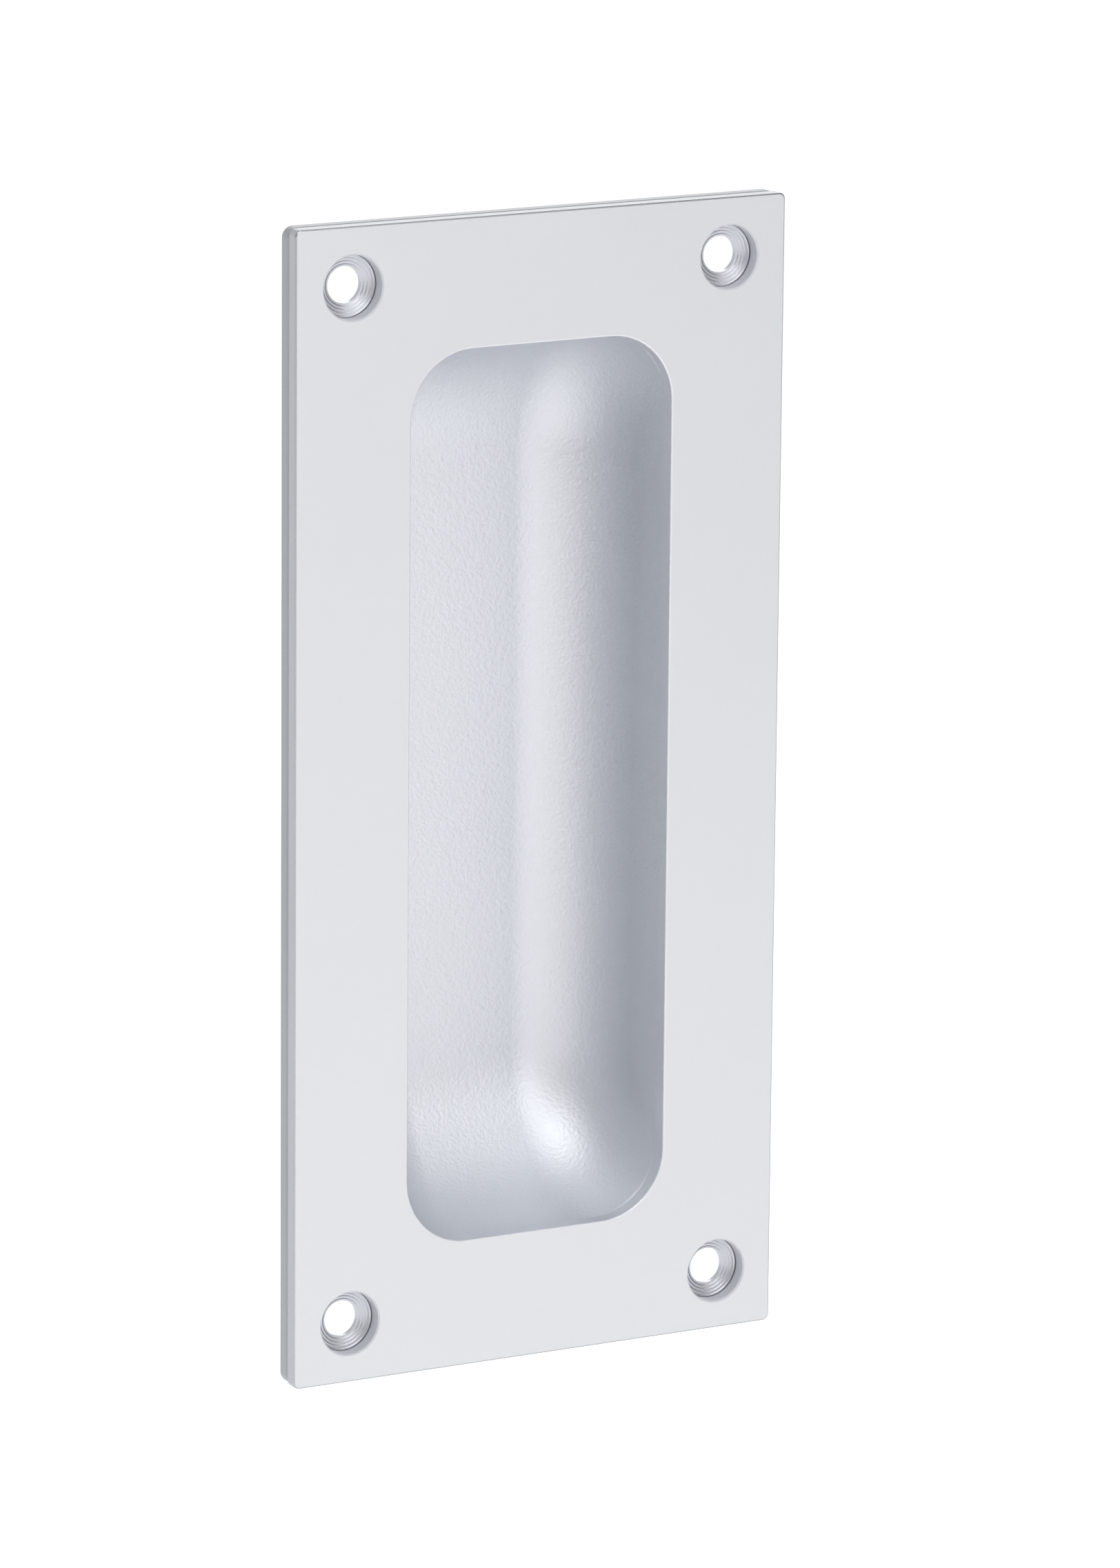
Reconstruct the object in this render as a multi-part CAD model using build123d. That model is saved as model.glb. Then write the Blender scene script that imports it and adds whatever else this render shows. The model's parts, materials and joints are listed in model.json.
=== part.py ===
"""Rectangular flush pull in anodised aluminium, for a sliding door or a drawer front.

Two pieces of sheet lie face to face. The front plate is flat, with a round-cornered
window and four holes. The rear pan has a flange of the same outline, with a seat for each
screw, and a recess drawn into it that the fingers reach through the window.

X is the width, +Y goes into the door and +Z is up. The origin is at the middle of the
flange's back, the plane that seats on the door.
"""
import os
from math import cos, radians, tan

from build123d import *

# Driving sizes in millimetres

# Outline and sheets
plate_width = 47.5
plate_height = 102.0
front_thickness = 1.4
flange_thickness = 1.4
front_corner_radius = 0.6
flange_corner_radius = 1.0

# Sheet edges are broken by tumbling, a little less where they meet the face
face_edge_break = 0.15
seam_edge_break = 0.25

# Window: what is left of the face beside and above it
side_margin = 11.05
end_margin = 11.4
window_radius = 6.0

# Recess, from the face down. Its mouth stands back behind the window's edge, so that the
# front plate hides the turn of the sheet
recess_depth = 14.5
recess_edge_radius = 8.0
side_draft = 3.0
mouth_setback = 0.6
mouth_break = 0.6
pan_wall = 1.2
bend_radius = 1.0

# Screw holes
hole_inset_side = 5.5
hole_inset_end = 5.3
bore_diameter = 3.2
bore_back_break = 0.5
head_hole_diameter = 5.6
seat_step = 0.08
seat_angle = 140.0

# Sizes that follow from these
joint_y = -flange_thickness
face_y = joint_y - front_thickness
floor_y = face_y + recess_depth
window_width = plate_width - 2 * side_margin
window_length = plate_height - 2 * end_margin
end_radius = floor_y - joint_y
hole_spacing_x = plate_width - 2 * hole_inset_side
hole_spacing_z = plate_height - 2 * hole_inset_end


def front_view(y):
    """The plane at y that a person facing the door draws on: X to the right, Z up."""
    return Plane.XZ.offset(-y)


def face_at(shape, y):
    """The flat face of shape that lies in the plane at y."""
    flat_faces = shape.faces().filter_by(Axis.Y)
    return flat_faces.sort_by(lambda face: abs(face.center().Y - y))[0]


def pressed_form(skin):
    """The recess as a solid that stands skin outside the surface the fingers touch.

    A U-shaped side view, with quarter-round ends as deep as the pan, is run across the
    width and trimmed by a cross view with drafted sides. Both side edges are then rounded
    in one run: down the corners, round the scooped ends and along the floor.
    """
    depth = recess_depth + skin
    middle_y = face_y + depth / 2
    mouth_length = window_length + 2 * (mouth_setback + skin)

    side_view = Rectangle(depth, mouth_length)
    side_view = fillet(side_view.vertices().group_by(Axis.X)[-1], end_radius + skin)
    side_run = extrude(Plane.YZ * Pos(middle_y, 0) * side_view, plate_width / 2, both=True)

    # The drafted sides stand back from the window's edges by mouth_setback at the joint
    flare = front_thickness * tan(radians(side_draft)) + skin / cos(radians(side_draft))
    mouth_width = window_width + 2 * (mouth_setback + flare)
    cross_view = Trapezoid(mouth_width, depth, 90 - side_draft)
    cross_run = extrude(Pos(0, middle_y) * cross_view, plate_height / 2, both=True)

    form = side_run & cross_run
    across = form.edges().filter_by(Axis.X)
    mouth = form.edges().group_by(Axis.Y)[0]
    return fillet(form.edges() - across - mouth, recess_edge_radius + skin)


def screw_room():
    """What the four screws need: a hole for each head, a shallow conical seat and a bore."""
    bore = bore_diameter / 2
    head = head_hole_diameter / 2
    seat = head - seat_step
    seat_depth = (seat - bore) / tan(radians(seat_angle / 2))
    half_view = Polyline(
        (0, face_y - front_thickness),
        (head, face_y - front_thickness),
        (head, joint_y),
        (seat, joint_y),
        (bore, joint_y + seat_depth),
        (bore, -bore_back_break),
        (bore + 2 * bore_back_break, bore_back_break),
        (0, bore_back_break),
        close=True,
    )
    room = revolve(make_face(half_view), Axis.Y)
    return [
        Pos(x, 0, z) * room
        for x in (-hole_spacing_x / 2, hole_spacing_x / 2)
        for z in (-hole_spacing_z / 2, hole_spacing_z / 2)
    ]


def make_front_plate():
    """The flat plate that is seen: broken outline and window, and four holes for the heads."""
    outline = RectangleRounded(plate_width, plate_height, front_corner_radius)
    window = RectangleRounded(window_width, window_length, window_radius)
    plate = extrude(front_view(joint_y) * (outline - window), front_thickness)
    plate = chamfer(face_at(plate, joint_y).outer_wire().edges(), seam_edge_break)
    plate = chamfer(face_at(plate, face_y).edges(), face_edge_break)
    return plate - screw_room()


def make_rear_pan():
    """The flange that seats on the door, with the recess drawn from the same sheet."""
    outline = RectangleRounded(plate_width, plate_height, flange_corner_radius)
    flange = extrude(front_view(0) * outline, flange_thickness)
    flange = chamfer(face_at(flange, joint_y).edges(), seam_edge_break)
    flange = chamfer(face_at(flange, 0).edges(), seam_edge_break)

    outside = split(pressed_form(pan_wall), front_view(joint_y), keep=Keep.BOTTOM)
    pan = flange + outside
    pan = fillet(face_at(pan, 0).inner_wires()[0].edges(), bend_radius)

    pan = pan - pressed_form(0)
    pan = chamfer(face_at(pan, joint_y).inner_wires()[0].edges(), mouth_break)
    return pan - screw_room()


nodes = {
    "front_plate": make_front_plate(),
    "rear_pan": make_rear_pan(),
}

os.makedirs("parts", exist_ok=True)
for name, solid in nodes.items():
    export_step(solid, f"parts/{name}.step")
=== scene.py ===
"""Studio picture of a rectangular flush pull in satin anodised aluminium.

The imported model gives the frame: where the two sheets lie and how large they are. Each sheet
is built again here as a finer mesh of the same form, so that its rims, its turned screw
seats and its drawn corners are real geometry with exact normals, and each surface is dressed
by how it was made.
"""

import json
import logging
import math
from dataclasses import dataclass
from enum import Enum

import bpy
import numpy as np
from mathutils import Matrix, Vector
from mathutils.geometry import delaunay_2d_cdt

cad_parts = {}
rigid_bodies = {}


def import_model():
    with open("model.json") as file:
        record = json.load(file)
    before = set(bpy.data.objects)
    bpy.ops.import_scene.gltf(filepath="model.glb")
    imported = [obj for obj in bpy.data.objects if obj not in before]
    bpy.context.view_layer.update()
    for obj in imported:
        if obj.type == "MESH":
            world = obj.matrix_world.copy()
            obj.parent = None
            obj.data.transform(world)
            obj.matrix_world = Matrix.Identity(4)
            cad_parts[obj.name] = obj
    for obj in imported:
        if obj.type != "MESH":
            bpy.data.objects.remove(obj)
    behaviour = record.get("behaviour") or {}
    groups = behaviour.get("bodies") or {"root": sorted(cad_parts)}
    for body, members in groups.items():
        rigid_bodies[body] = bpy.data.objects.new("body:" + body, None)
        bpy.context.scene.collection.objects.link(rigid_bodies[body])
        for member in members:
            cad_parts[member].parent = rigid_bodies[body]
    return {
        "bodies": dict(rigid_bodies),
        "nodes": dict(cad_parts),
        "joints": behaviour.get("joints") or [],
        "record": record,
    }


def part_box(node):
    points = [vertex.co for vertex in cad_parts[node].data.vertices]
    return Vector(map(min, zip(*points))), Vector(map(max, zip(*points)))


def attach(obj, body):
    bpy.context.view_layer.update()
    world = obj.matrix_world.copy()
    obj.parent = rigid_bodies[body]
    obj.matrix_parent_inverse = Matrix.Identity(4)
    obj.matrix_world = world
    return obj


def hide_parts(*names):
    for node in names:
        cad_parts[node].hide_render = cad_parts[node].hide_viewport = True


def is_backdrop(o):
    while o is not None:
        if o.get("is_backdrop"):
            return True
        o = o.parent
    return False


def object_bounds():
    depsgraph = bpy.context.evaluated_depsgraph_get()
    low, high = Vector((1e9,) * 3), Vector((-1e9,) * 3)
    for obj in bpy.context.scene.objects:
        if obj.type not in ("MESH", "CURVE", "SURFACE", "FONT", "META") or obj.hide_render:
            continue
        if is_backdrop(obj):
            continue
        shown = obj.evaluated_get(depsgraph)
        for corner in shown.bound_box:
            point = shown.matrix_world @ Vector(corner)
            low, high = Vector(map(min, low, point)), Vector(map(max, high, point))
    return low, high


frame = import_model()

MM = 0.001
QUARTER_TURN = math.pi / 2

# A Mix node has sockets of the same name for each kind of value, so the colour's go by number
MIX_FACTOR = 0
MIX_FIRST = 6
MIX_SECOND = 7
MIX_COLOUR = 2

# A place on an edge's profile: inset, y and the normal's parts out of the edge and along Y
Station = tuple[float, float, float, float]

log = logging.getLogger("flush_pull")


def linear(hex_colour: str) -> tuple[float, float, float, float]:
    """Turns an sRGB hex colour into the linear colour that a shader takes.

    Args:
        hex_colour: Six hex digits, with or without a leading hash.

    Returns:
        Linear red, green, blue and an alpha of 1.
    """
    digits = hex_colour.lstrip("#")
    channels = [int(digits[i:i + 2], 16) / 255 for i in (0, 2, 4)]
    # The sRGB curve is straight near black and a power above that
    red, green, blue = [
        c / 12.92 if c <= 0.04045 else ((c + 0.055) / 1.055) ** 2.4 for c in channels
    ]
    return red, green, blue, 1.0


def add_node(
    tree: bpy.types.NodeTree,
    kind: str,
    inputs: dict | None = None,
    **settings: object,
) -> bpy.types.Node:
    """Adds a shader node with its settings and links.

    Args:
        tree: The node tree that takes the node.
        kind: The node's type name.
        inputs: For each input, by name or number, a value or the socket that feeds it.
        settings: The node's own properties.

    Returns:
        The new node.
    """
    node = tree.nodes.new(kind)
    for name, value in settings.items():
        setattr(node, name, value)
    for name, value in (inputs or {}).items():
        if isinstance(value, bpy.types.NodeSocket):
            tree.links.new(value, node.inputs[name])
        else:
            node.inputs[name].default_value = value
    return node


def cleared_tree(owner: bpy.types.Material | bpy.types.World) -> bpy.types.NodeTree:
    """Gives a material or the world a node tree with nothing in it.

    Args:
        owner: The material or the world.

    Returns:
        Its node tree.
    """
    owner.use_nodes = True
    owner.node_tree.nodes.clear()
    return owner.node_tree


def add_object(name: str, data: bpy.types.ID) -> bpy.types.Object:
    """Adds an object to the scene.

    Args:
        name: The object's name.
        data: Its mesh, lamp or camera.

    Returns:
        The object.
    """
    item = bpy.data.objects.new(name, data)
    bpy.context.scene.collection.objects.link(item)
    return item


def direction(azimuth: float, elevation: float) -> Vector:
    """The direction from the pull to a place around it.

    Args:
        azimuth: Degrees from straight in front, positive to the right.
        elevation: Degrees above level.

    Returns:
        A vector of length 1.
    """
    turn = math.radians(azimuth)
    rise = math.radians(elevation)
    return Vector((
        math.sin(turn) * math.cos(rise),
        -math.cos(turn) * math.cos(rise),
        math.sin(rise),
    ))


class Surface(Enum):
    """The surfaces of the pull, each with a finish of its own.

    RECESS takes in the window's wall, SEAM the flange's face behind the front plate, and BACK the
    plate's own back.
    """

    FACE = 0
    FACE_CORNER = 1
    CUT_EDGE = 2
    FLANGE_EDGE = 3
    SEAM = 4
    HOLE_WALL = 5
    SCREW_SEAT = 6
    RECESS = 7
    BACK = 8


@dataclass(frozen=True)
class PullSizes:
    """The sizes that both sheets share, in millimetres. X is the width, Y goes into the door."""

    width: float
    height: float
    face_y: float
    joint_y: float
    back_y: float
    pan_bottom_y: float
    hole_spacing_x: float
    hole_spacing_z: float
    bore_radius: float
    window_width: float = 25.4
    window_height: float = 79.2
    head_hole_radius: float = 2.8
    seat_step: float = 0.08
    seam_edge_radius: float = 0.25

    @classmethod
    def from_frame(cls, packed: dict) -> "PullSizes":
        """Reads the outline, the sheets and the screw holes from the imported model.


        Returns:
            The sizes in millimetres.
        """
        low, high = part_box("front_plate")
        mounts = {mount["name"]: mount for mount in packed["record"]["mounts"]}
        screws = mounts["screw_holes"]
        return cls(
            width=(high.x - low.x) / MM,
            height=(high.z - low.z) / MM,
            face_y=low.y / MM,
            joint_y=high.y / MM,
            back_y=screws["pos_m"][1] / MM,
            pan_bottom_y=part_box("rear_pan")[1].y / MM,
            hole_spacing_x=screws["dims"]["spacing_x_mm"],
            hole_spacing_z=screws["dims"]["spacing_y_mm"],
            bore_radius=screws["dims"]["hole_r_mm"],
        )

    def hole_centres(self) -> list[tuple[float, float]]:
        """Finds the screw holes.

        Returns:
            The four centres as (x, z).
        """
        half_x = self.hole_spacing_x / 2
        half_z = self.hole_spacing_z / 2
        return [(x, z) for x in (-half_x, half_x) for z in (-half_z, half_z)]


class SheetMesh:
    """A closed sheet-metal surface, gathered patch by patch with its exact normals.

    Points are in millimetres. Patches that meet share their vertices, and each face is
    turned to agree with the normals it is given.
    """

    # Corners this close, in millimetres, are one vertex
    weld: float = 1e-4

    def __init__(self) -> None:
        """Starts with no patches."""
        self.points: list[np.ndarray] = []
        self.numbers: dict[tuple, int] = {}
        self.faces: list[list[int]] = []
        self.normals: list[np.ndarray] = []
        self.surfaces: list[int] = []

    def number(self, point: np.ndarray) -> int:
        """Numbers the vertex at a point, the same for every patch that touches it.

        Args:
            point: The point.

        Returns:
            The vertex's number.
        """
        key = tuple(int(round(c / self.weld)) for c in point)
        if key not in self.numbers:
            self.numbers[key] = len(self.points)
            self.points.append(np.asarray(point, float))
        return self.numbers[key]

    def face(
        self, corners: list[np.ndarray], normals: list[np.ndarray], surface: Surface
    ) -> None:
        """Adds one face, dropping corners that fall together.

        Args:
            corners: The corner points in order.
            normals: The surface's outward normal at each corner.
            surface: The surface that the face belongs to.
        """
        ring = []
        kept = []
        for corner, normal in zip(corners, normals):
            vertex = self.number(corner)
            if vertex not in ring:
                ring.append(vertex)
                kept.append(normal)
        if len(ring) < 3:
            return
        # The way the corners turn gives the side that the face would look to
        spots = [self.points[i] for i in ring]
        looks_to = np.zeros(3)
        for before, after in zip(spots, spots[1:] + spots[:1]):
            looks_to += np.cross(before - spots[0], after - spots[0])
        if looks_to @ np.sum(kept, axis=0) < 0:
            ring.reverse()
            kept.reverse()
        self.faces.append(ring)
        self.normals.extend(kept)
        self.surfaces.append(surface.value)

    def grid(self, points: np.ndarray, normals: np.ndarray, surface: Surface) -> None:
        """Adds a patch of four-sided faces.

        Args:
            points: Rows and columns of points.
            normals: The outward normals at the same rows and columns.
            surface: The surface that the patch belongs to.
        """
        rows, columns = points.shape[:2]
        for i in range(rows - 1):
            for j in range(columns - 1):
                places = ((i, j), (i, j + 1), (i + 1, j + 1), (i + 1, j))
                self.face([points[p] for p in places], [normals[p] for p in places], surface)

    def flat(self, loops: list[np.ndarray], facing: int, surface: Surface) -> None:
        """Fills a flat face at one depth, with the first loop outside and the rest as holes.

        Args:
            loops: Closed rings of points that all have the same y.
            facing: 1 if the face looks along +Y, -1 if it looks along -Y.
            surface: The surface that the face belongs to.
        """
        corners = np.concatenate(loops)
        rings = []
        start = 0
        for loop in loops:
            rings.append(list(range(start, start + len(loop))))
            start += len(loop)
        flat_points = [Vector((p[0], p[2])) for p in corners]
        inside_but_for_holes = 2
        _, _, triangles, origins, _, _ = delaunay_2d_cdt(
            flat_points, [], rings, inside_but_for_holes, self.weld,
        )
        normal = np.array((0.0, facing, 0.0))
        for triangle in triangles:
            spots = [corners[origins[i][0]] for i in triangle]
            self.face(spots, [normal] * len(spots), surface)

    def open_edges(self) -> int:
        """Counts the edges that don't have exactly two faces.

        Returns:
            Their number, 0 on a closed surface.
        """
        uses: dict[tuple, int] = {}
        for ring in self.faces:
            for pair in zip(ring, ring[1:] + ring[:1]):
                key = tuple(sorted(pair))
                uses[key] = uses.get(key, 0) + 1
        return sum(1 for count in uses.values() if count != 2)

    def build(self, name: str, materials: list[bpy.types.Material]) -> bpy.types.Object:
        """Makes the Blender object, in metres, with its normals and materials.

        Args:
            name: The object's name.
            materials: One material for each surface, in the order of Surface.

        Returns:
            The object, linked to the scene.
        """
        mesh = bpy.data.meshes.new(name)
        mesh.from_pydata([tuple(p * MM) for p in self.points], [], self.faces)
        for material in materials:
            mesh.materials.append(material)
        mesh.polygons.foreach_set("material_index", self.surfaces)
        mesh.shade_smooth()
        mesh.normals_split_custom_set([tuple(n / np.linalg.norm(n)) for n in self.normals])
        mesh.update()
        piece = add_object(name, mesh)
        log.info(
            "%s: %d vertices, %d faces, %d open edges",
            name, len(self.points), len(self.faces), self.open_edges(),
        )
        return piece


@dataclass(frozen=True)
class Outline:
    """A closed curve in the plane of the sheet, with the directions that lead out of the metal."""

    spots: np.ndarray
    outward: np.ndarray

    @classmethod
    def rounded(
        cls, width: float, height: float, radius: float, steps: int, is_opening: bool = False
    ) -> "Outline":
        """A rectangle with round corners about the middle.

        Args:
            width: Size along X.
            height: Size along Z.
            radius: Corner radius.
            steps: Segments in each corner.
            is_opening: True where the metal lies outside the curve.

        Returns:
            The curve.
        """
        spots = []
        outward = []
        for corner in range(4):
            middle = QUARTER_TURN * (corner + 0.5)
            centre = (
                math.copysign(width / 2 - radius, math.cos(middle)),
                math.copysign(height / 2 - radius, math.sin(middle)),
            )
            for step in range(steps + 1):
                angle = QUARTER_TURN * (corner + step / steps)
                away = (math.cos(angle), math.sin(angle))
                spots.append((centre[0] + radius * away[0], centre[1] + radius * away[1]))
                outward.append(away)
        sign = -1 if is_opening else 1
        return cls(np.array(spots), sign * np.array(outward))

    @classmethod
    def circle(cls, centre: tuple[float, float], radius: float, steps: int) -> "Outline":
        """A round opening.

        Args:
            centre: The centre as (x, z).
            radius: The opening's radius.
            steps: Segments round the opening.

        Returns:
            The curve.
        """
        turns = np.linspace(0, 2 * math.pi, steps, endpoint=False)
        away = np.stack([np.cos(turns), np.sin(turns)], axis=1)
        return cls(np.array(centre) + radius * away, -away)

    def ring(self, inset: float, y: float) -> np.ndarray:
        """The curve's points moved into the metal by inset, at depth y."""
        flat = self.spots - inset * self.outward
        return np.stack([flat[:, 0], np.full(len(flat), y), flat[:, 1]], axis=1)

    def closed_ring(self, inset: float, y: float) -> np.ndarray:
        """The same points with the first one again at the end."""
        ring = self.ring(inset, y)
        return np.concatenate([ring, ring[:1]])

    def closed_normals(self, across: float, along: float) -> np.ndarray:
        """One direction at each point of the closed ring.

        Args:
            across: The direction's part out of the metal.
            along: Its part along Y.

        Returns:
            The directions.
        """
        flat = across * np.concatenate([self.outward, self.outward[:1]])
        return np.stack([flat[:, 0], np.full(len(flat), along), flat[:, 1]], axis=1)

    def band(self, mesh: SheetMesh, profile: list[Station], surface: Surface) -> None:
        """Runs a smooth profile round the curve.

        Args:
            mesh: The mesh that takes the faces.
            profile: The stations in order.
            surface: The surface that the band belongs to.
        """
        rings = [self.closed_ring(inset, y) for inset, y, _, _ in profile]
        normals = [self.closed_normals(across, along) for _, _, across, along in profile]
        mesh.grid(np.array(rings), np.array(normals), surface)

    def facets(
        self, mesh: SheetMesh, profile: list[tuple[float, float]], surface: Surface
    ) -> None:
        """Runs a profile round the curve, with each span of it a flat of its own.

        Args:
            mesh: The mesh that takes the faces.
            profile: Stations as (inset, y).
            surface: The surface that the facets belong to.
        """
        for (inset, y), (next_inset, next_y) in zip(profile, profile[1:]):
            run_in = next_inset - inset
            run_y = next_y - y
            normals = self.closed_normals(run_y, run_in) / math.hypot(run_y, run_in)
            rings = [self.closed_ring(inset, y), self.closed_ring(next_inset, next_y)]
            mesh.grid(np.array(rings), np.array([normals, normals]), surface)


def rounded_edge(
    front_y: float, back_y: float, front_radius: float, back_radius: float, steps: int = 5
) -> list[Station]:
    """The profile of a sheet's edge, with its front and back corner rounded or sharp.

    Args:
        front_y: Depth of the side that looks along -Y.
        back_y: Depth of the side that looks along +Y.
        front_radius: Rounding at the front, 0 for a sharp corner.
        back_radius: Rounding at the back, 0 for a sharp corner.
        steps: Segments in each rounding.

    Returns:
        The stations, front to back.
    """
    stations = []
    for step in range(steps + 1 if front_radius else 1):
        turn = QUARTER_TURN * (step / steps if front_radius else 1)
        across, along = math.sin(turn), math.cos(turn)
        inset = front_radius * (1 - across)
        stations.append((inset, front_y + front_radius * (1 - along), across, -along))
    for step in range(steps + 1 if back_radius else 1):
        turn = QUARTER_TURN * (step / steps if back_radius else 0)
        across, along = math.cos(turn), math.sin(turn)
        inset = back_radius * (1 - across)
        stations.append((inset, back_y - back_radius * (1 - along), across, along))
    return stations


@dataclass(frozen=True)
class FrontPlate:
    """The flat plate that is seen, with its window and four holes for the screw heads.

    Lengths are in millimetres.
    """

    sizes: PullSizes
    corner_radius: float = 0.6
    window_radius: float = 6.0
    face_edge_radius: float = 0.15
    head_hole_bevel: float = 0.13
    head_hole_seam: float = 0.12
    corner_steps: int = 10
    window_steps: int = 24
    hole_steps: int = 96

    def build(self, materials: list[bpy.types.Material]) -> bpy.types.Object:
        """Builds the plate.

        Args:
            materials: One material for each surface.

        Returns:
            The plate's object.
        """
        s = self.sizes
        mesh = SheetMesh()
        outline = Outline.rounded(s.width, s.height, self.corner_radius, self.corner_steps)
        window = Outline.rounded(
            s.window_width, s.window_height, self.window_radius, self.window_steps,
            is_opening=True,
        )
        corner_y = s.face_y + self.face_edge_radius
        seam_y = s.joint_y - s.seam_edge_radius
        corner = rounded_edge(s.face_y, corner_y, self.face_edge_radius, 0)
        side = rounded_edge(corner_y, seam_y, 0, 0)
        seam = rounded_edge(seam_y, s.joint_y, 0, s.seam_edge_radius)
        rim = rounded_edge(s.face_y, s.joint_y, self.face_edge_radius, 0)
        outline.band(mesh, corner, Surface.FACE_CORNER)
        outline.band(mesh, side, Surface.CUT_EDGE)
        outline.band(mesh, seam, Surface.SEAM)
        window.band(mesh, rim, Surface.RECESS)

        front_loops = [
            outline.ring(self.face_edge_radius, s.face_y),
            window.ring(self.face_edge_radius, s.face_y),
        ]
        back_loops = [
            outline.ring(s.seam_edge_radius, s.joint_y),
            window.ring(0, s.joint_y),
        ]
        bevel = self.head_hole_bevel
        gap = self.head_hole_seam
        hole_profile = [(bevel, s.face_y), (0, s.face_y + bevel), (0, s.joint_y - gap)]
        gap_profile = [(0, s.joint_y - gap), (gap, s.joint_y)]
        for centre in s.hole_centres():
            hole = Outline.circle(centre, s.head_hole_radius, self.hole_steps)
            hole.facets(mesh, hole_profile, Surface.HOLE_WALL)
            hole.facets(mesh, gap_profile, Surface.SEAM)
            front_loops.append(hole.ring(bevel, s.face_y))
            back_loops.append(hole.ring(gap, s.joint_y))
        mesh.flat(front_loops, -1, Surface.FACE)
        mesh.flat(back_loops, 1, Surface.BACK)
        return mesh.build("front_plate_finished", materials)


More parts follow.
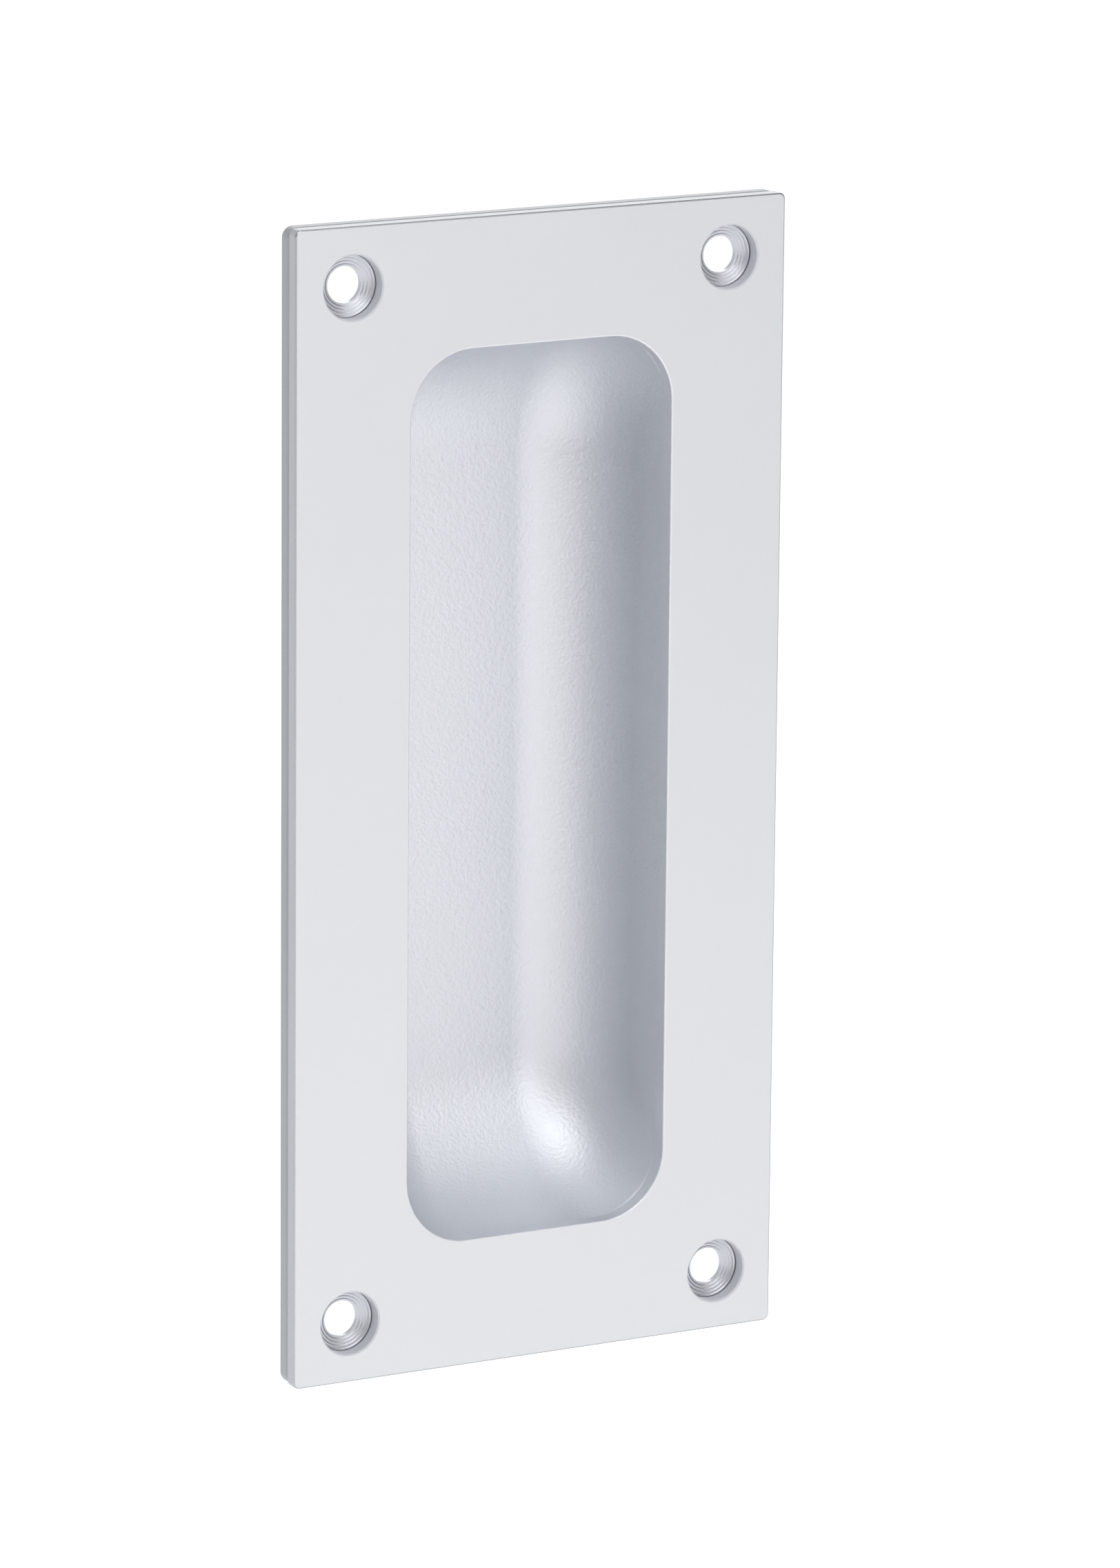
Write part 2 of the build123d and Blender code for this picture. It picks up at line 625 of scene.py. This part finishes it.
@dataclass(frozen=True)
class DrawnSkin:
    """One side of the drawn recess: a U-shaped run between drafted walls, its edges rounded.

    The rounding is that of a ball rolled along the edge between the run and a wall. Angles
    round the end arcs are 0 towards the end of the pull and a quarter turn towards the floor.
    Lengths are in millimetres and angles in radians.
    """

    half_width: float
    arc_centre_z: float
    end_radius: float
    edge_radius: float
    joint_y: float
    draft: float
    arc_steps: int = 40
    floor_steps: int = 8
    edge_steps: int = 18
    bend_steps: int = 6
    halvings: int = 50

    def wall_x(self, y: float) -> float:
        """Half the distance between the walls at depth y."""
        return self.half_width - math.tan(self.draft) * (y - self.joint_y)

    def contact(
        self, angle: float, blend: float, end: int, side: int, z: float
    ) -> tuple[np.ndarray, np.ndarray]:
        """A point of the rounded edge and the direction out of the recess there.

        Args:
            angle: Angle round the end arc.
            blend: 0 at the U-shaped run, 1 at the wall.
            end: 1 for the upper end, -1 for the lower.
            side: 1 for the right wall, -1 for the left.
            z: Height of the arc's centre, or of the place along the floor.

        Returns:
            The point and the unit normal that points into the metal.
        """
        reach = self.end_radius - self.edge_radius
        centre_y = self.joint_y + reach * math.sin(angle)
        centre_x = side * (self.wall_x(centre_y) - self.edge_radius / math.cos(self.draft))
        centre = np.array((centre_x, centre_y, z + end * reach * math.cos(angle)))
        to_run = np.array((0.0, math.sin(angle), end * math.cos(angle)))
        to_wall = np.array((side * math.cos(self.draft), math.sin(self.draft), 0.0))
        opening = math.acos(float(to_run @ to_wall))
        normal = math.sin((1 - blend) * opening) * to_run + math.sin(blend * opening) * to_wall
        normal /= math.sin(opening)
        return centre + self.edge_radius * normal, normal

    def first_angle(self, blend: float, plane_y: float, bend: float) -> float:
        """Finds by halving where on the end arc a bend of this radius up to the plane begins.

        Args:
            blend: Place across the rounded edge, from 0 to 1.
            plane_y: Depth of the flat that the skin bends into.
            bend: Radius of that bend.

        Returns:
            The angle round the arc.
        """
        low, high = 0.0, QUARTER_TURN
        for _ in range(self.halvings):
            middle = (low + high) / 2
            point, normal = self.contact(middle, blend, end=1, side=1, z=self.arc_centre_z)
            if point[1] + bend * normal[1] < plane_y + bend:
                low = middle
            else:
                high = middle
        return high

    def stations(self, first: float) -> list[tuple[float, int, float]]:
        """The places along the run, from the upper mouth over the floor to the lower one.

        Args:
            first: The angle at which each end arc begins.

        Returns:
            Each place as (angle, end, z).
        """
        arc = [first + (QUARTER_TURN - first) * i / self.arc_steps for i in range(self.arc_steps + 1)]
        upper = [(angle, 1, self.arc_centre_z) for angle in arc]
        lower = [(angle, -1, -self.arc_centre_z) for angle in reversed(arc)]
        floor = [
            (QUARTER_TURN, 1, self.arc_centre_z * (1 - 2 * i / self.floor_steps))
            for i in range(1, self.floor_steps)
        ]
        return upper + floor + lower

    def build(
        self, mesh: SheetMesh, plane_y: float, bend: float, facing: int, surface: Surface
    ) -> np.ndarray:
        """Builds the skin with the bend that joins it to a flat.

        Args:
            mesh: The mesh that takes the faces.
            plane_y: Depth of the flat.
            bend: Radius of the bend.
            facing: -1 if the metal's surface looks into the recess, 1 if out of it.
            surface: The surface that the skin belongs to.

        Returns:
            The closed ring of points where the bend meets the flat.
        """
        blends = [i / self.edge_steps for i in range(self.edge_steps + 1)]
        first = [self.first_angle(blend, plane_y, bend) for blend in blends]
        rows = len(self.stations(0.0))
        edges = {}
        for side in (1, -1):
            places = np.zeros((rows, len(blends), 3))
            normals = np.zeros((rows, len(blends), 3))
            for j, blend in enumerate(blends):
                for i, (angle, end, z) in enumerate(self.stations(first[j])):
                    places[i, j], normals[i, j] = self.contact(angle, blend, end, side, z)
            mesh.grid(places, facing * normals, surface)
            edges[side] = (places, normals)

        # The U-shaped run between the two rounded edges
        run_places, run_normals = (
            np.stack([left[:, 0], right[:, 0]], axis=1)
            for left, right in zip(edges[-1], edges[1])
        )
        mesh.grid(run_places, facing * run_normals, surface)

        # Each wall, from its rounded edge up to the mouth, and the way round the mouth
        rim = []
        for side in (1, -1):
            places, normals = edges[side]
            top = places[:, -1].copy()
            top[:, 1] = places[0, -1, 1]
            top[:, 0] = places[0, -1, 0]
            wall = np.stack([places[:, -1], top], axis=1)
            wall_normals = np.stack([normals[:, -1], normals[:, -1]], axis=1)
            mesh.grid(wall, facing * wall_normals, surface)
            upper = [(places[0, j], normals[0, j]) for j in range(len(blends))]
            lower = [(places[-1, j], normals[-1, j]) for j in reversed(range(len(blends)))]
            straight = [(top[i], normals[i, -1]) for i in range(1, rows - 1)]
            way = upper + straight + lower
            rim += way if side == 1 else way[::-1]
        return self.bend_rim(mesh, rim, bend, facing, surface)

    def bend_rim(
        self,
        mesh: SheetMesh,
        rim: list[tuple[np.ndarray, np.ndarray]],
        bend: float,
        facing: int,
        surface: Surface,
    ) -> np.ndarray:
        """Rounds the way from the skin to the flat.

        Args:
            mesh: The mesh that takes the faces.
            rim: Points and normals round the mouth, in order.
            bend: Radius of the bend.
            facing: -1 if the metal's surface looks into the recess, 1 if out of it.
            surface: The surface that the bend belongs to.

        Returns:
            The closed ring of points on the flat.
        """
        to_flat = np.array((0.0, -1.0, 0.0))
        points = np.zeros((self.bend_steps + 1, len(rim) + 1, 3))
        normals = np.zeros_like(points)
        for j, (spot, normal) in enumerate(rim + rim[:1]):
            centre = spot + bend * normal
            opening = math.acos(float(np.clip(to_flat @ -normal, -1, 1)))
            for i in range(self.bend_steps + 1):
                share = i / self.bend_steps
                ray = math.sin((1 - share) * opening) * to_flat - math.sin(share * opening) * normal
                ray /= math.sin(opening)
                points[i, j] = centre + bend * ray
                normals[i, j] = -facing * ray
        mesh.grid(points, normals, surface)
        return points[0, :-1]


@dataclass(frozen=True)
class RearPan:
    """The flange that seats on the door, with the recess drawn from the same sheet.

    Lengths are in millimetres and angles in degrees.
    """

    sizes: PullSizes
    edge_radius: float = 8.0
    wall: float = 1.2
    side_draft: float = 3.0
    mouth_setback: float = 0.6
    mouth_radius: float = 0.6
    corner_radius: float = 1.0
    bend_radius: float = 1.0
    seat_angle: float = 140.0
    bore_back_break: float = 0.5
    turning_pitch: float = 0.3
    turning_depth: float = 0.03
    corner_steps: int = 10
    hole_steps: int = 96

    def skin(self, thickness: float) -> DrawnSkin:
        """One side of the drawn recess.

        Args:
            thickness: How far it lies outside the surface that the fingers touch.

        Returns:
            The skin.
        """
        s = self.sizes
        draft = math.radians(self.side_draft)
        end_radius = s.pan_bottom_y - self.wall - s.joint_y
        return DrawnSkin(
            half_width=s.window_width / 2 + self.mouth_setback + thickness / math.cos(draft),
            arc_centre_z=s.window_height / 2 + self.mouth_setback - end_radius,
            end_radius=end_radius + thickness,
            edge_radius=self.edge_radius + thickness,
            joint_y=s.joint_y,
            draft=draft,
        )

    def seat_profile(self) -> list[tuple[float, float]]:
        """The screw's turned seat with its tool marks, the bore and its broken back edge.

        Returns:
            Stations as (inset, y).
        """
        s = self.sizes
        half_angle = math.radians(self.seat_angle / 2)
        run = s.head_hole_radius - s.seat_step - s.bore_radius
        drop = run / math.tan(half_angle)
        marks = round(math.hypot(run, drop) / self.turning_pitch)
        groove_in = self.turning_depth * math.cos(half_angle)
        groove_y = self.turning_depth * math.sin(half_angle)
        stations = [(0.0, s.joint_y)]
        for mark in range(marks):
            groove = (mark + 0.5) / marks
            ridge = (mark + 1) / marks
            stations.append((groove_in - run * groove, s.joint_y + drop * groove + groove_y))
            stations.append((-run * ridge, s.joint_y + drop * ridge))
        stations.append((-run, s.back_y - self.bore_back_break))
        stations.append((self.bore_back_break - run, s.back_y))
        return stations

    def build(self, materials: list[bpy.types.Material]) -> bpy.types.Object:
        """Builds the pan.

        Args:
            materials: One material for each surface.

        Returns:
            The pan's object.
        """
        s = self.sizes
        mesh = SheetMesh()
        outline = Outline.rounded(s.width, s.height, self.corner_radius, self.corner_steps)
        seam_y = s.joint_y + s.seam_edge_radius
        seam = rounded_edge(s.joint_y, seam_y, s.seam_edge_radius, 0)
        edge = rounded_edge(seam_y, s.back_y, 0, s.seam_edge_radius)
        outline.band(mesh, seam, Surface.SEAM)
        outline.band(mesh, edge, Surface.FLANGE_EDGE)
        mouth = self.skin(0).build(mesh, s.joint_y, self.mouth_radius, -1, Surface.RECESS)
        root = self.skin(self.wall).build(mesh, s.back_y, self.bend_radius, 1, Surface.BACK)

        front_loops = [outline.ring(s.seam_edge_radius, s.joint_y), mouth]
        back_loops = [outline.ring(s.seam_edge_radius, s.back_y), root]
        rim_radius = s.head_hole_radius - s.seat_step
        back_radius = s.bore_radius + self.bore_back_break
        for centre in s.hole_centres():
            hole = Outline.circle(centre, rim_radius, self.hole_steps)
            hole.facets(mesh, self.seat_profile(), Surface.SCREW_SEAT)
            front_loops.append(hole.ring(0, s.joint_y))
            back_loops.append(hole.ring(back_radius - rim_radius, s.back_y))
        mesh.flat(front_loops, -1, Surface.SEAM)
        mesh.flat(back_loops, 1, Surface.BACK)
        return mesh.build("rear_pan_finished", materials)


@dataclass(frozen=True)
class AnodisedAluminium:
    """Aluminium with a clear anodised skin, which keeps a metal's colour and hides its gloss."""

    name: str
    colour: str
    shaded_colour: str
    roughness: float
    grain_mm: float
    grain_height_mm: float
    grain_detail: float = 3.0
    cloud_mm: float = 14.0
    cloud_detail: float = 2.0
    roughness_spread: float = 0.04
    bump_strength: float = 1.0

    def material(self) -> bpy.types.Material:
        """Builds the finish: the metal, its slow change of tone and its grain.

        Returns:
            The material.
        """
        material = bpy.data.materials.new(self.name)
        tree = cleared_tree(material)
        place = add_node(tree, "ShaderNodeTexCoord").outputs["Object"]
        clouds = add_node(
            tree, "ShaderNodeTexNoise",
            {
                "Vector": place,
                "Scale": 1 / (self.cloud_mm * MM),
                "Detail": self.cloud_detail,
            },
        ).outputs["Fac"]
        colour = add_node(
            tree, "ShaderNodeMix",
            {
                MIX_FACTOR: clouds,
                MIX_FIRST: linear(self.shaded_colour),
                MIX_SECOND: linear(self.colour),
            },
            data_type="RGBA",
        ).outputs[MIX_COLOUR]
        roughness = add_node(
            tree, "ShaderNodeMapRange",
            {
                "Value": clouds,
                "To Min": self.roughness - self.roughness_spread,
                "To Max": self.roughness + self.roughness_spread,
            },
        ).outputs["Result"]
        grain = add_node(
            tree, "ShaderNodeTexNoise",
            {
                "Vector": place,
                "Scale": 1 / (self.grain_mm * MM),
                "Detail": self.grain_detail,
            },
        ).outputs["Fac"]
        bump = add_node(
            tree, "ShaderNodeBump",
            {
                "Strength": self.bump_strength,
                "Distance": self.grain_height_mm * MM,
                "Height": grain,
            },
        ).outputs["Normal"]
        metal = add_node(
            tree, "ShaderNodeBsdfPrincipled",
            {"Base Color": colour, "Metallic": 1.0, "Roughness": roughness, "Normal": bump},
        )
        add_node(tree, "ShaderNodeOutputMaterial", {"Surface": metal.outputs["BSDF"]})
        return material


# Milled flat, fine blasted and clear anodised: a silky sheen with hardly any grain
SATIN_FACE = AnodisedAluminium(
    "anodised_aluminium_satin_face",
    colour="#CCCED1", shaded_colour="#C9CBCE", roughness=0.42,
    grain_mm=0.22, grain_height_mm=0.004,
)

# The face's outer corner: glossier than the flats, so it shows the room, and darkened in colour as a
# painted dark reflection, so a thin dark line runs along the edge
DARK_LINE_PAINTED_CORNER = AnodisedAluminium(
    "anodised_aluminium_corner_painted_dark_line",
    colour="#AAACB0", shaded_colour="#A2A4A8", roughness=0.26,
    grain_mm=0.3, grain_height_mm=0.004,
)

# Blanked, then tumbled: the sheet's edge is a shade duller and rougher than its face
TUMBLED_EDGE = AnodisedAluminium(
    "anodised_aluminium_tumbled_edge",
    colour="#BBBEC2", shaded_colour="#AFB2B6", roughness=0.5,
    grain_mm=0.3, grain_height_mm=0.02,
)

# The flange's edge, as it was blanked: torn by the shear, so duller still than the plate's
SHEARED_EDGE = AnodisedAluminium(
    "anodised_aluminium_sheared_edge",
    colour="#B0B2B6", shaded_colour="#A4A6AA", roughness=0.55,
    grain_mm=0.3, grain_height_mm=0.03,
)

# The groove where the sheets meet: dull, and darkened in colour as painted shade along the joint, on
# top of the groove's own shading, so the joint reads as a line
SEAM_PAINTED_SHADE = AnodisedAluminium(
    "anodised_aluminium_seam_painted_shade",
    colour="#B2B4B8", shaded_colour="#A2A4A8", roughness=0.6,
    grain_mm=0.3, grain_height_mm=0.02,
)

# Cut across the sheet, then blasted: a matt wall that takes light from all round
BLASTED_WALL = AnodisedAluminium(
    "anodised_aluminium_blasted_wall",
    colour="#DFE1E4", shaded_colour="#D9DBDF", roughness=0.9,
    grain_mm=0.22, grain_height_mm=0.02,
)

# Turned with a drill's point: rings round the screw hole that catch the light
TURNED_SEAT = AnodisedAluminium(
    "anodised_aluminium_turned_seat",
    colour="#C0C2C7", shaded_colour="#B1B3B9", roughness=0.38,
    grain_mm=0.16, grain_height_mm=0.012,
)

# Drawn, then bead blasted: an even, fine grain that spreads every highlight. Single bead marks
# are too fine to show, so the grain is drawn coarser than they are
BLASTED_RECESS = AnodisedAluminium(
    "anodised_aluminium_blasted_recess",
    colour="#D8DADE", shaded_colour="#D3D5DA", roughness=0.53,
    grain_mm=0.32, grain_height_mm=0.045,
)

# As drawn from the sheet, then anodised: the side that the door hides, left plain
MILL_BACK = AnodisedAluminium(
    "anodised_aluminium_mill_back",
    colour="#D2D4D7", shaded_colour="#C8CACE", roughness=0.45,
    grain_mm=0.5, grain_height_mm=0.01,
)


@dataclass(frozen=True)
class PhotoCamera:
    """The camera that took the photograph, found from the plate's edges, window and holes.

    Angles are in degrees and lengths in millimetres. The offset is how far the face's middle
    lies to the right of the picture's middle and above it.
    """

    azimuth: float = -28.383
    elevation: float = 13.183
    roll: float = 0.521
    distance: float = 735.57
    offset_right: float = -1.790
    offset_up: float = -0.681
    focal_length: float = 194.41
    sensor_width: float = 36.0
    clip_start: float = 10.0

    def build(self, target: Vector) -> None:
        """Places the camera and makes it the scene's.

        Args:
            target: The middle of the pull's face, in metres.
        """
        azimuth = math.radians(self.azimuth)
        back = direction(self.azimuth, self.elevation)
        level_right = Vector((math.cos(azimuth), math.sin(azimuth), 0.0))
        turn = Matrix.Rotation(math.radians(self.roll), 3, back)
        right = turn @ level_right
        up = turn @ back.cross(level_right)
        offset = self.offset_right * right + self.offset_up * up
        data = bpy.data.cameras.new("photo_camera")
        data.lens = self.focal_length
        data.sensor_width = self.sensor_width
        data.clip_start = self.clip_start * MM
        camera = add_object("photo_camera", data)
        place = Matrix((right, up, back)).transposed().to_4x4()
        place.translation = target + (self.distance * back - offset) * MM
        camera.matrix_world = place
        bpy.context.scene.camera = camera


@dataclass(frozen=True)
class SoftBox:
    """A square studio lamp behind a diffuser, aimed at the pull.

    Angles are in degrees, azimuth from straight in front and elevation from level. Distance
    and size are in metres. Brightness is that of the diffuser, where 1 looks white.
    """

    name: str
    azimuth: float
    elevation: float
    brightness: float
    distance: float = 0.9
    size: float = 0.55

    def build(self, target: Vector) -> None:
        """Hangs the lamp.

        Args:
            target: What the lamp is aimed at, in metres.
        """
        away = direction(self.azimuth, self.elevation)
        data = bpy.data.lights.new(self.name, "AREA")
        data.shape = "SQUARE"
        data.size = self.size
        data.energy = self.brightness * math.pi * self.size ** 2
        lamp = add_object(self.name, data)
        lamp.location = target + away * self.distance
        lamp.rotation_euler = away.to_track_quat("Z", "Y").to_euler()


@dataclass(frozen=True)
class Studio:
    """A sweep of white paper, floor and backdrop in one, in a bright room of soft light.

    Lengths are in metres.
    """

    floor_drop: float = 0.1
    sweep_front: float = -4.0
    sweep_back: float = 3.0
    sweep_height: float = 3.0
    sweep_width: float = 8.0
    sweep_bend: float = 1.0
    bend_steps: int = 24
    paper_colour: str = "#F4F4F4"
    paper_glow: float = 0.6
    room_colour: str = "#FFFFFF"
    room_light: float = 0.47
    lamps: tuple[SoftBox, ...] = (
        SoftBox("softbox_front", azimuth=10, elevation=20, brightness=3.3, size=0.4),
        SoftBox("softbox_high_left", azimuth=-35, elevation=50, brightness=2.8),
        SoftBox("softbox_high_right", azimuth=20, elevation=55, brightness=1.05),
        SoftBox("softbox_behind", azimuth=150, elevation=35, brightness=1.6),
    )

    def build(self, target: Vector, lowest: float) -> None:
        """Builds the sweep, the room and the lamps.

        Args:
            target: What the lamps are aimed at, in metres.
            lowest: Height of the pull's lowest point, in metres.
        """
        self.sweep(lowest - self.floor_drop)
        self.room()
        for lamp in self.lamps:
            lamp.build(target)

    def sweep(self, height: float) -> None:
        """Hangs the paper, which glows for the camera and in the metal, so that it looks white.

        Args:
            height: Where the paper lies on the floor, in metres.
        """
        bend = self.sweep_bend
        profile = [(self.sweep_front, height)]
        for step in range(self.bend_steps + 1):
            turn = QUARTER_TURN * step / self.bend_steps
            profile.append((
                self.sweep_back - bend * (1 - math.sin(turn)),
                height + bend * (1 - math.cos(turn)),
            ))
        profile.append((self.sweep_back, height + self.sweep_height))
        half = self.sweep_width / 2
        corners = [(x, y, z) for y, z in profile for x in (-half, half)]
        strips = [(i, i + 1, i + 3, i + 2) for i in range(0, len(corners) - 2, 2)]
        mesh = bpy.data.meshes.new("studio_sweep")
        mesh.from_pydata(corners, [], strips)
        mesh.shade_smooth()
        mesh.materials.append(self.paper())
        sweep = add_object("studio_sweep", mesh)
        sweep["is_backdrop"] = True

    def paper(self) -> bpy.types.Material:
        """Matt white paper: no sheen, and bright enough to leave the picture's ground white.

        Returns:
            The material.
        """
        material = bpy.data.materials.new("matt_white_paper")
        tree = cleared_tree(material)
        matt = add_node(
            tree, "ShaderNodeBsdfDiffuse", {"Color": linear(self.paper_colour)},
        ).outputs["BSDF"]
        strength = add_node(
            tree, "ShaderNodeMath",
            {0: self.seen_directly(tree), 1: self.paper_glow}, operation="MULTIPLY",
        ).outputs["Value"]
        glow = add_node(tree, "ShaderNodeEmission", {"Strength": strength}).outputs["Emission"]
        both = add_node(tree, "ShaderNodeAddShader", {0: matt, 1: glow}).outputs["Shader"]
        add_node(tree, "ShaderNodeOutputMaterial", {"Surface": both})
        return material

    @staticmethod
    def seen_directly(tree: bpy.types.NodeTree) -> bpy.types.NodeSocket:
        """Tells rays that look at the paper from rays that it only lights.

        Args:
            tree: The paper's node tree.

        Returns:
            A socket that is 1 for rays from the camera, from metal or through glass.
        """
        path = add_node(tree, "ShaderNodeLightPath")
        seen = path.outputs["Is Camera Ray"]
        for kind in ("Is Glossy Ray", "Is Transmission Ray"):
            seen = add_node(
                tree, "ShaderNodeMath", {0: seen, 1: path.outputs[kind]}, operation="MAXIMUM",
            ).outputs["Value"]
        return seen

    def room(self) -> None:
        """Fills the room with even light from all round."""
        world = bpy.data.worlds.new("studio_room")
        bpy.context.scene.world = world
        tree = cleared_tree(world)
        room = add_node(
            tree, "ShaderNodeBackground",
            {"Color": linear(self.room_colour), "Strength": self.room_light},
        ).outputs["Background"]
        add_node(tree, "ShaderNodeOutputWorld", {"Surface": room})


def main() -> None:
    """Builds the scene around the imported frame."""
    logging.basicConfig(level=logging.INFO, format="%(message)s")
    cad_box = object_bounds()
    sizes = PullSizes.from_frame(frame)
    face_centre = Vector((0.0, sizes.face_y * MM, 0.0))

    bpy.context.scene.view_settings.view_transform = "Standard"
    PhotoCamera().build(face_centre)
    Studio().build(face_centre, cad_box[0][2])
    log.info("camera and studio placed")

    finishes = {
        Surface.FACE: SATIN_FACE,
        Surface.FACE_CORNER: DARK_LINE_PAINTED_CORNER,
        Surface.CUT_EDGE: TUMBLED_EDGE,
        Surface.FLANGE_EDGE: SHEARED_EDGE,
        Surface.SEAM: SEAM_PAINTED_SHADE,
        Surface.HOLE_WALL: BLASTED_WALL,
        Surface.SCREW_SEAT: TURNED_SEAT,
        Surface.RECESS: BLASTED_RECESS,
        Surface.BACK: MILL_BACK,
    }
    materials = [finishes[surface].material() for surface in Surface]
    plate = FrontPlate(sizes).build(materials)
    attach(plate, "root")
    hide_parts("front_plate")
    pan = RearPan(sizes).build(materials)
    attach(pan, "root")
    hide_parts("rear_pan")


if __name__ == "__main__":
    main()
